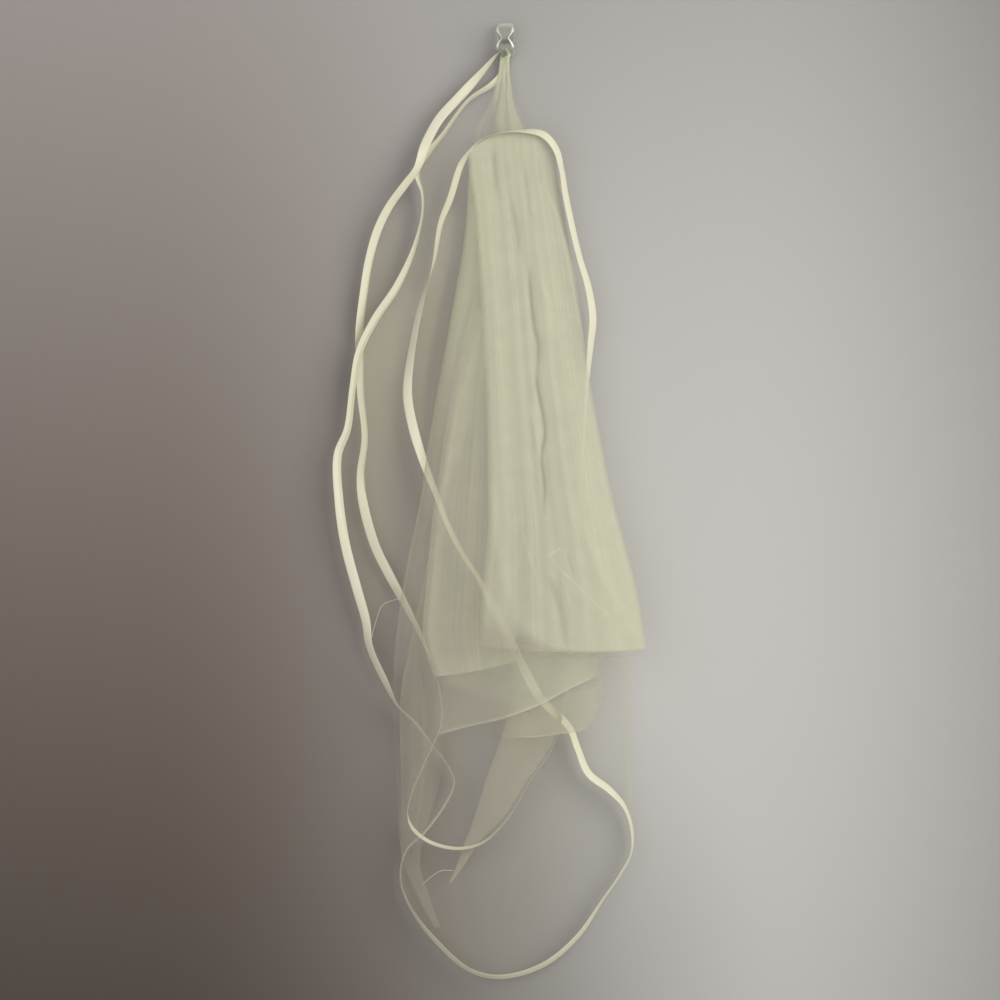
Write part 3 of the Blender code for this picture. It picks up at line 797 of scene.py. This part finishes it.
def web_grid(stretch, table, rows, columns):
    """A sheer web from the inner edge of a stretch of ribbon across to the folds at each height.

    x runs evenly, and the distance from the wall follows the cube of the way to the ribbon.
    """
    route = smooth_route(RIBBON_ROUTE[stretch], RIBBON_STEP)
    route = route[np.argsort(route[:, 1])]
    z, far, near_out, far_out = smooth_rows(table, rows).T[:, :, None]
    near = np.interp(z, route[:, 1], route[:, 0])
    u = np.linspace(0, 1, columns)
    out = far_out + (near_out - far_out) * (1 - u) ** 3
    return np.stack([near + (far - near) * u, -out, z + 0 * u], axis=-1)


# A web fades out at both ends. The half next to the ribbon is denser, most of all near 270 mm
# below the hook.
rows, columns = 160, 40
from_end = np.minimum(np.linspace(0, 1, rows), np.linspace(1, 0, rows))
fade = np.clip(from_end * 8, 0, 1)[:, None]
inner = soft_step(-np.linspace(0, 1, columns), -0.55, 0.05)
for name, (stretch, table) in WEB_ROWS.items():
    grid = web_grid(stretch, table, rows, columns)
    cover = 0.1 + inner * (0.08 + 0.12 * np.exp(-(((grid[..., 2] + 270) / 110) ** 2)))
    web = add_net(name + "_net", grid, cover * fade)
    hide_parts(name)
    width, length, area = WEB_CUT[name]


# Tulle side fold. The net's left side hangs in one long fold, two layers joined along the edge
# that shows, narrow at the arch and widest where the tiers end.
# Columns: z, left x, right x, out of the back leaf, out of the front leaf.
SIDE_FOLD_ROWS = [
    (-112, -33, -10, 20, 24),
    (-186, -38, -4, 21, 27),
    (-261, -51, -8, 22, 29),
    (-363, -69, -34, 23, 31),
    (-430, -79, -60, 24, 32),
    (-493, -92, -68, 24, 32),
    (-564, -102, -72, 24, 32),
    (-619, -104, -58, 24, 31),
    (-671, -102, -58, 24, 30),
    (-704, -100, -64, 24, 29),
    (-762, -96, -79, 23, 27),
    (-801, -80, -70, 21, 25),
    (-828, -66, -60, 19, 22),
]

# How much of the light each leaf stops. Columns: z, cover.
SIDE_FOLD_COVER = [
    (-828, 0.12),
    (-711, 0.04),
    (-617, 0.035),
    (-530, 0.14),
    (-450, 0.19),
    (-380, 0.25),
    (-330, 0.4),
    (-260, 0.6),
    (-137, 0.7),
    (-114, 0.0),
]


def cover_at(grid, table):
    """The cover at each point's height, between the rows of a table of heights and covers."""
    level, cover = np.array(table, float).T
    return np.interp(grid[..., 2], level, cover)


def two_leaf_grid(table, rows, columns):
    """The back leaf from right to left, a half-round turn at the left edge, the front leaf back.

    A leaf's columns are spaced by the power 0.8 of their share, and the turn has twelve more.
    """
    z, left, right, back, front = smooth_rows(table, rows).T[:, :, None]
    radius = (front - back) / 2
    turn_x = left + radius
    leaf = np.linspace(0, 1, columns) ** 0.8
    angle = np.linspace(0, math.pi, 14)[1:-1]
    x = [right + (turn_x - right) * leaf, turn_x - radius * np.sin(angle)]
    x.append(turn_x + (right - turn_x) * leaf)
    out = [back + 0 * leaf, (front + back) / 2 - radius * np.cos(angle), front + 0 * leaf]
    x, out = np.hstack(x), np.hstack(out)
    return np.stack([x, -out, z + 0 * x], axis=-1)


def near_middle(columns, width):
    """1 at the middle column of a fold and falling to both ends as a bell curve of the width."""
    return np.exp(-(((np.arange(columns) - (columns - 1) / 2) / width) ** 2))


# The fold's left edge is crisp, and from 600 to 735 mm below the hook it has a denser band.
grid = two_leaf_grid(SIDE_FOLD_ROWS, rows=300, columns=60)
rows, columns = grid.shape[:2]
pleats = fine_pleats(rows, columns, seed=11, count=20, narrow=0.004, wide=0.014)
grid[..., 1] -= 0.4 * pleats
crisp = near_middle(columns, 3.5)
x, z = grid[..., 0], grid[..., 2]
low = soft_step(-z, 600, 15) * soft_step(z, -735, 15)
cover = cover_at(grid, SIDE_FOLD_COVER)
cover = cover - 0.02 * low + 0.1 * low * soft_step(x, -89, 2) * soft_step(-x, 65, 3)
cover = cover + (0.09 * pleats + 0.3 * crisp) * np.clip(cover * 8, 0, 1)
side_fold = add_net("tulle_side_fold_net", grid, cover)
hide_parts("tulle_side_fold")


# Tulle tail. A free corner of the net folds over and hangs in a point below the tiers.
# Columns: z, left x, right x, out of the back leaf, out of the front leaf.
TAIL_ROWS = [
    (-600, 12, 44, 24, 27),
    (-632, 2, 50, 22.5, 27),
    (-652, -4, 47, 22, 26.5),
    (-671, -11, 35, 21, 26),
    (-690, -18, 22, 20, 25),
    (-704, -22, 13, 19, 24),
    (-726, -29, -1, 17, 21),
    (-740, -34, -15, 14.5, 18),
    (-752, -39, -26, 12.5, 15.5),
    (-768, -44, -36, 12, 15),
    (-788, -53, -50, 11, 13.5),
]

grid = two_leaf_grid(TAIL_ROWS, rows=200, columns=34)
rows, columns = grid.shape[:2]
pleats = fine_pleats(rows, columns, seed=13, count=10, narrow=0.01, wide=0.03)
grid[..., 1] -= 0.4 * pleats
cover = 0.24 + 0.04 * pleats + 0.08 * near_middle(columns, 4.0)
cover = cover * np.clip((-600 - grid[..., 2]) / 40, 0, 1)
tail = add_net("tulle_tail_net", grid, cover)
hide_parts("tulle_tail")


# Loose threads. Two ends of sewing thread hang free, one off the tip of the tail and one off
# the long tier's ribbon. Each is a fine ivory thread, about 0.3 mm thick.
THREAD_HALF_WIDTH = 0.17
THREAD_HALF_THICK = 0.12

# Columns: x, z, out, turn.
LOOSE_THREADS = {
    "loose_thread_tail": [
        (-49, -776, 14, 0),
        (-59, -776, 15, 0),
        (-68, -781, 15, 0),
        (-77, -789, 14, 0),
    ],
    "loose_thread_ribbon": [
        (-126, -564, 15, 0),
        (-121, -545, 17, 0),
        (-114, -528, 18, 0),
        (-99, -522, 18, 0),
    ],
}

for name, table in LOOSE_THREADS.items():
    route = smooth_route(table, step=2.0)
    points, flat = ribbon_points(route, THREAD_HALF_WIDTH, THREAD_HALF_THICK, cup=0.0)
    thread = add_piece(name, points, tube_faces(*points.shape[:2]), satin)
    set_flat_map(thread, flat)


# Tulle swags. Below the front tier the net loops sideways in two shallow swags, and the one at
# the right ends in a cut corner.
# Columns: x, top z, bottom z, out.
SWAG_COLUMNS = [
    (-68, -574, -650, 32),
    (-50, -570, -645, 33),
    (-27, -568, -639, 34),
    (-1, -562, -633, 35),
    (31, -556, -621, 36),
    (61, -552, -605, 38),
    (85, -552, -594, 40),
    (102, -552, -588, 40),
]
CORNER_COLUMNS = [
    (-16, -644, -650, 29),
    (22, -615, -651, 30),
    (50, -600, -648, 31),
    (74, -596, -643, 32),
    (86, -596, -627, 32.5),
    (97, -594, -610, 33),
]


def swag_grid(table, ripple, rows, columns):
    """Columns ruled from the top to the bottom edge, pushed out by a sine of x and of the drop."""
    x, top, bottom, out = smooth_rows(table, columns).T[:, None, :]
    v = np.linspace(0, 1, rows)[:, None]
    out = out + ripple * np.sin(0.11 * x + 2.2 * v)
    return np.stack([x + 0 * v, -out, top + (bottom - top) * v], axis=-1)


# The swag fades out at its top and both ends. It is denser above a slanting fold and at its
# right, and its bottom edge shows as a line. The corner is the same, without the slanting fold.
rows = 60
v = np.linspace(0, 1, rows)[:, None]
grid = swag_grid(SWAG_COLUMNS, ripple=1.2, rows=rows, columns=200)
hem = np.exp(-(((1 - v) / 0.03) ** 2))
x, z = grid[..., 0], grid[..., 2]
ends = smooth_share((x + 69) / 14) * smooth_share((103 - x) / 30)
doubled = soft_step(z + 0.33 * x, -619, 2.0)
cover = 0.28 + 0.12 * doubled + 0.34 * soft_step(x, 12, 12)
swag = add_net("tulle_swag_net", grid, ends * (cover * np.clip(v * 5, 0, 1) + 0.28 * hem))
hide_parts("tulle_swag")

grid = swag_grid(CORNER_COLUMNS, ripple=0.8, rows=rows, columns=150)
x = grid[..., 0]
cover = (0.16 + 0.3 * soft_step(x, 10, 6)) * np.clip(v * 4, 0, 1) + 0.2 * hem
cover *= smooth_share((x + 14) / 24) * smooth_share((99 - x) / 18)
corner = add_net("tulle_corner_net", grid, cover)
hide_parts("tulle_corner")


# Tulle middle fold. A band of several pleats lies between the side fold and the front tier.
# Columns: left x, left z, right x, right z, rise in the middle, out, pleat depth.
MIDDLE_ROWS = [
    (-23, -216, 0, -216, 0, 31.5, 0.8),
    (-38, -277, 5, -277, 0, 34, 1.8),
    (-51, -338, 8, -338, 0, 36, 3.0),
    (-60, -399, 10, -399, 0, 37.5, 3.5),
    (-67, -444, 12, -444, 0, 38, 3.8),
    (-73, -509, 12, -505, 0, 39, 4.0),
    (-76, -558, 11, -545, 0, 39, 4.0),
    (-66, -594, 10, -580, -2, 39, 3.0),
]

# The band is denser above, thins towards its left, and fades in below its top. Its left edge
# shows as a line, and thin straight lines of thread cross its pleats at a slant.
rows, columns = 280, 150
grid = pleated_grid(MIDDLE_ROWS, rows, columns, pleats=3, wander=0.15, relief=0.25)
pleats = fine_pleats(rows, columns, seed=17, count=20, narrow=0.008, wide=0.04)
threads = fine_pleats(rows, columns, seed=43, count=22, narrow=0.004, wide=0.01, slant=0.12)
grid[..., 1] -= 0.2 * pleats
left_edge = np.exp(-((np.linspace(0, 1, columns) / 0.012) ** 2))
x, z = grid[..., 0], grid[..., 2]
top_fade = smooth_share((-216 - z) / 45)
cover = 0.54 + 0.22 * soft_step(z, -320, 35) + 0.05 * pleats + 0.06 * threads
cover = cover * np.clip(0.3 + (x - x[:, :1]) / (8 + 12 * soft_step(z, -330, 35)), 0, 1)
cover = cover * top_fade + 0.22 * left_edge * top_fade
middle_fold = add_net("tulle_middle_fold_net", grid, cover)
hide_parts("tulle_middle_fold")


# Tulle of the front tier. The short tier's net hangs from the arch in many soft pleats, lying
# several deep, and turns under at its foot.
# Columns: left x, left z, right x, right z, rise in the middle, out, pleat depth.
FRONT_ROWS = [
    (-35, -107, 47, -101, 17, 30, 2.0),
    (-33, -130, 49, -127, 10, 32, 3.0),
    (-28, -160, 55, -160, 3, 34, 4.0),
    (-22, -246, 69, -246, 0, 42, 5.0),
    (-19, -302, 76, -302, 0, 47, 6.0),
    (-17, -353, 85, -353, 0, 50, 6.0),
    (-16, -415, 97, -415, 0, 53, 6.5),
    (-16, -456, 107, -456, 0, 56, 6.5),
    (-21, -512, 122, -512, 0, 59, 6.0),
    (-24, -564, 131, -568, -4, 62, 5.0),
]
FRONT_GRID_ROWS = 300
FRONT_PLEATS = 8
FRONT_WANDER = 0.35
FRONT_RELIEF = 0.12

# The foot turns under on a half circle. The net behind it runs up to the return's top with softer
# pleats, drawn in at both sides and hollowed at its right. The whole right side falls back
# towards the wall.
FOOT_TURN_RADIUS = 6.0
RETURN_TOP = -414.0
RETURN_PLEAT = 1.4
RETURN_IN_LEFT = 12
RETURN_IN_RIGHT = 22
RETURN_HOLLOW = 4.2
SIDE_FALL = 14.0

# Creases in the front tier. Each is a path of x, z points, the crease's width, how far it
# stands out, and how much more it covers.
FRONT_CREASES = [
    ([(-11, -105), (-10, -124), (-9, -149)], 2.2, -1.2, -0.18),
    ([(4, -149), (11, -177), (14, -205)], 2.6, -1.2, -0.18),
    ([(18, -113), (22, -152), (25, -170)], 2.0, -1.0, -0.16),
    ([(30, -109), (32, -126), (33, -140)], 2.0, -0.6, -0.08),
    ([(37, -137), (52, -177), (67, -254), (79, -306)], 1.6, 0.9, 0.14),
    ([(23, -212), (24, -240), (27, -268), (31, -289), (29, -330)], 2.0, -1.8, -0.42),
    ([(28, -310), (31, -330), (37, -365), (34, -390), (37, -420), (36, -448)], 1.8, -1.6, -0.42),
    ([(30, -216), (40, -246), (44, -280)], 2.6, 0.8, 0.10),
    ([(22, -337), (31, -379), (33, -392)], 2.0, 1.0, 0.14),
    ([(-14, -402), (-6, -478), (11, -534)], 5.0, 1.2, 0.10),
    ([(14, -454), (33, -514)], 1.4, 0.5, 0.08),
    ([(42, -485), (79, -521), (104, -544)], 1.2, 0.8, 0.22),
    ([(39, -483), (46, -478), (54, -474)], 1.2, 0.5, 0.14),
    ([(57, -478), (64, -499)], 1.4, -0.8, -0.12),
    ([(40, -498), (51, -531), (59, -572)], 3.4, -1.4, -0.20),
    ([(53, -499), (61, -531)], 1.4, 0.6, 0.12),
    ([(59, -428), (94, -506), (124, -564)], 5.0, 1.2, 0.08),
]


def front_tier_grid(rows, columns):
    """The pleated front, a half-round turn under at its foot, and a run back up behind it.

    Its right side falls back to the wall by the cube of the way out from the middle.
    """
    front = pleated_grid(FRONT_ROWS, rows, columns, FRONT_PLEATS, FRONT_WANDER, FRONT_RELIEF)
    left_x, left_z, right_x, right_z, rise, out, depth = FRONT_ROWS[-1]
    angle = np.linspace(0, math.pi, 14)[1:, None]
    u = np.linspace(0, 1, columns)
    wave = pleat_wave(u, FRONT_PLEATS, FRONT_WANDER) * FRONT_RELIEF
    x = left_x + (right_x - left_x) * u
    z = left_z + (right_z - left_z) * u + rise * (1 - (2 * u - 1) ** 2)
    share = angle / math.pi
    soft = depth + (RETURN_PLEAT - depth) * share
    turn_out = out - FOOT_TURN_RADIUS * (1 - np.cos(angle)) + soft * wave
    turn_z = z - FOOT_TURN_RADIUS * np.sin(angle)
    turn = np.stack([x + 0 * turn_z, -turn_out, turn_z], axis=-1)
    back = np.linspace(0, 1, 40)[1:, None]
    drawn_in = RETURN_IN_RIGHT * back + RETURN_HOLLOW * np.sin(math.pi * back) ** 2
    back_x = x + RETURN_IN_LEFT * back * (1 - u) - drawn_in * u
    back_z = z + (RETURN_TOP - z) * back
    back_out = out - 2 * FOOT_TURN_RADIUS - back + RETURN_PLEAT * wave
    back = np.stack([back_x + 0 * back_z, -back_out, back_z], axis=-1)
    grid = np.concatenate([front, turn, back])
    below_top = np.clip((-90 - grid[..., 2]) / 90, 0, 1)
    grid[..., 1] += SIDE_FALL * np.clip(2 * u - 1, 0, 1) ** 3 * below_top
    return grid


grid = front_tier_grid(FRONT_GRID_ROWS, columns=240)
rows, columns = grid.shape[:2]
front = slice(0, FRONT_GRID_ROWS)
pleats, threads = np.zeros((2, rows, columns))
fine = {"seed": 23, "count": 34, "narrow": 0.005, "wide": 0.035}
pleats[front] = fine_pleats(FRONT_GRID_ROWS, columns, **fine)
fine = {"seed": 41, "count": 46, "narrow": 0.0022, "wide": 0.006, "slant": 0.1}
threads[front] = fine_pleats(FRONT_GRID_ROWS, columns, **fine)

# The front is nearly solid. It is thinner at its upper right and low down at its left, and its
# two side edges fade into the net behind them.
x, z = grid[..., 0], grid[..., 2]
u = np.linspace(0, 1, columns)
cover = 0.86 + 0.035 * pleats + 0.06 * threads
cover -= 0.2 * soft_step(u, 0.84, 0.04) * soft_step(z, -300, 30)
from_left, from_right = x - x[:, :1], x[:, -1:] - x
cover -= 0.14 * soft_step(-z, 440, 20) * soft_step(-from_left, -42, 8)
left_fade = 0.8 * (9 + 5 * soft_step(-z, 225, 14))
cover *= smooth_share(0.3 + from_left / left_fade) * smooth_share(0.45 + from_right / 9)
relief = 0.1 * pleats
for path, width, stands_out, covers in FRONT_CREASES:
    near = np.zeros((rows, columns))
    near[front] = closeness(grid[front], path, width)
    relief += stands_out * near
    cover += covers * near
grid[..., 1] -= relief

# The foot thins into the turn, most of all at its left, and behind it only the right part shows.
row = np.arange(rows)[:, None]
foot = smooth_share((FRONT_GRID_ROWS - row) / (2 + 26 * soft_step(-x, -20, 12)))
cover *= np.where(row < FRONT_GRID_ROWS, 0.4 + 0.6 * foot, 1)
behind = 0.3 * smooth_share((row - FRONT_GRID_ROWS) / 20) * smooth_share((rows - 1 - row) / 24)
cover *= np.where(row < FRONT_GRID_ROWS, 1, behind * soft_step(x, 25, 15))
front_tier = add_net("tulle_front_tier_net", grid, cover, [FRONT_GRID_ROWS])
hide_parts("tulle_front_tier")


# Room. A plain pale floor well below the veil, and the wall it hangs on, whose colour has the
# room's light and shade painted in. Both are seen from their front only, so that they never hide
# the veil from behind or below.
ROOM_HALF_WIDTH = 1.8
ROOM_FRONT = -3.0
WALL_PLACE = 0.004
WALL_TOP = 1.0
FLOOR_LEVEL = -1.4

# The logarithm of the wall's tone, with light and shade painted in: its level at the top, its rise
# and bend down the wall (painted light), the wide step of painted shade and how it deepens, the
# near step of painted shadow beside the veil and how it deepens, the painted fall of light at the
# far right.
WALL_PAINT_AND_LIGHT = (-0.8, 0.84, -0.61, -0.36, -1.28, 0.05, -0.44, -0.12)

# What red, green and blue add to it: all over, in the wide step of painted shade, and in that step
# downwards.
WALL_TINT_AND_SHADE_TINT = np.array([(0.0, 0.0, -0.04), (0.09, 0.0, -0.01), (0.14, 0.0, -0.13)])


def add_screen(name, points, faces, material):
    """A flat sheet of the room, in metres."""
    mesh = bpy.data.meshes.new(name)
    mesh.from_pydata(points, [], faces)
    mesh.materials.append(material)
    screen = bpy.data.objects.new(name, mesh)
    bpy.context.scene.collection.objects.link(screen)
    screen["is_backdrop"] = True
    return screen


def one_sided(tree, shader):
    """Lets light and sight through the back of a surface."""
    output = tree.nodes["Material Output"]
    behind = add_node(tree, "ShaderNodeNewGeometry", {}).outputs["Backfacing"]
    clear = add_node(tree, "ShaderNodeBsdfTransparent", {}).outputs["BSDF"]
    mix = {0: behind, 1: shader.outputs["BSDF"], 2: clear}
    mix = add_node(tree, "ShaderNodeMixShader", mix)
    tree.links.new(mix.outputs["Shader"], output.inputs["Surface"])


def wall_paint_and_light(x, z):
    """The wall's paint with the room's light and shade painted in: lit at the right, darker and
    warmer down the left.

    The logarithm of the tone is a parabola of the height, less a wide and a near smooth step
    across the wall that both deepen downwards, less a slight fall at the far right. The parabola
    and the fall are painted light, the wide step is painted shade, and the near step is painted
    shadow beside the veil.
    """
    x, level = x[:, None], np.clip(-z / 0.9, -0.1, 1.2)[:, None]
    low = smooth_share((level - 0.45) / 0.5)
    # The wide step is painted shade, and the near step is the veil's painted shadow.
    wide = 1 - smooth_share((x + 0.35) / 0.5)
    near = 1 - smooth_share((x + 0.12 - 0.12 * low) / (0.16 + 0.12 * low))
    right = np.clip((x - 0.2) / 0.15, 0, 2) ** 2
    base, rise, bend, wide_shade_top, wide_shade_down, veil_shadow_top, veil_shadow_down, light_fall = WALL_PAINT_AND_LIGHT
    tone_with_painted_light = base + rise * level + bend * level**2 + light_fall * right
    tone_with_painted_light = tone_with_painted_light + (wide_shade_top + wide_shade_down * level) * wide + (veil_shadow_top + veil_shadow_down * level) * near
    return np.exp(tone_with_painted_light + WALL_TINT_AND_SHADE_TINT[0] + WALL_TINT_AND_SHADE_TINT[1] * wide + WALL_TINT_AND_SHADE_TINT[2] * level * wide)


wall_paint_and_light_material, tree, shader = new_material("matt_wall_paint_with_painted_light", {"Roughness": 0.9})
one_sided(tree, shader)
# The colour attribute holds the wall's paint with light and shade painted in.
tone_with_painted_light = add_node(tree, "ShaderNodeAttribute", {}, attribute_name="tone_with_painted_light").outputs["Color"]
tree.links.new(tone_with_painted_light, shader.inputs["Base Color"])
rows, columns = 121, 181
x = np.linspace(-ROOM_HALF_WIDTH, ROOM_HALF_WIDTH, columns)
x, z = np.meshgrid(x, np.linspace(WALL_TOP, FLOOR_LEVEL, rows))
x, z = x.ravel(), z.ravel()
points = np.stack([x, 0 * x + WALL_PLACE, z], axis=-1).tolist()
wall = add_screen("wall", points, sheet_faces(rows, columns), wall_paint_and_light_material)
tones_with_painted_light = np.column_stack([wall_paint_and_light(x, z), np.ones(len(x))])
layer = wall.data.attributes.new("tone_with_painted_light", "FLOAT_COLOR", "POINT")
layer.data.foreach_set("color", tones_with_painted_light.ravel().astype(np.float32))

floor_paint, tree, shader = new_material("pale_floor", {"Roughness": 0.8})
one_sided(tree, shader)
shader.inputs["Base Color"].default_value = linear("#C9C7C2")
floor = [
    (-ROOM_HALF_WIDTH, ROOM_FRONT, FLOOR_LEVEL),
    (ROOM_HALF_WIDTH, ROOM_FRONT, FLOOR_LEVEL),
    (ROOM_HALF_WIDTH, WALL_PLACE, FLOOR_LEVEL),
    (-ROOM_HALF_WIDTH, WALL_PLACE, FLOOR_LEVEL),
]
add_screen("floor", floor, [(0, 1, 2, 3)], floor_paint)


def add_area_light(name, place, target, size, power, colour):
    """A square area light at a place, facing a target, with its power in watts."""
    lamp = bpy.data.lights.new(name, "AREA")
    lamp.size = size
    lamp.energy = power
    lamp.color = colour[:3]
    light = bpy.data.objects.new(name, lamp)
    light.location = place
    aim = Vector(target) - Vector(place)
    light.rotation_euler = aim.to_track_quat("-Z", "Y").to_euler()
    bpy.context.scene.collection.objects.link(light)
    return light


# A warm light from the upper right, and a weaker cool one from the left.
veil_middle = (0.0, 0.0, -0.43)
add_area_light("key", (1.9, -2.0, 0.6), veil_middle, 2.4, 58.0, linear("#FFFCF4"))
add_area_light("fill", (-1.0, -2.5, -0.3), veil_middle, 2.6, 22.0, linear("#F6F4FF"))

world = bpy.data.worlds.new("soft_room")
world.use_nodes = True
world.node_tree.nodes["Background"].inputs["Color"].default_value = linear("#F2F1EE")
world.node_tree.nodes["Background"].inputs["Strength"].default_value = 0.3
bpy.context.scene.world = world


# Camera. It looks level and square at the wall from four metres, so near and far folds keep
# almost the same scale.
CAMERA_DISTANCE = 4.0
FIELD_WIDTH = 0.937
SENSOR_WIDTH = 36.0
FIELD_MIDDLE_X = -0.0047
FIELD_MIDDLE_Z = -0.4301
lens = bpy.data.cameras.new("camera")
lens.sensor_width = SENSOR_WIDTH
lens.lens = SENSOR_WIDTH * CAMERA_DISTANCE / FIELD_WIDTH
camera = bpy.data.objects.new("camera", lens)
camera.location = (FIELD_MIDDLE_X, -CAMERA_DISTANCE, FIELD_MIDDLE_Z)
camera.rotation_euler = (math.pi / 2, 0.0, 0.0)
bpy.context.scene.collection.objects.link(camera)
bpy.context.scene.camera = camera
bpy.context.scene.view_settings.view_transform = "Standard"
bpy.context.scene.cycles.transparent_max_bounces = 64

low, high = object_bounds()
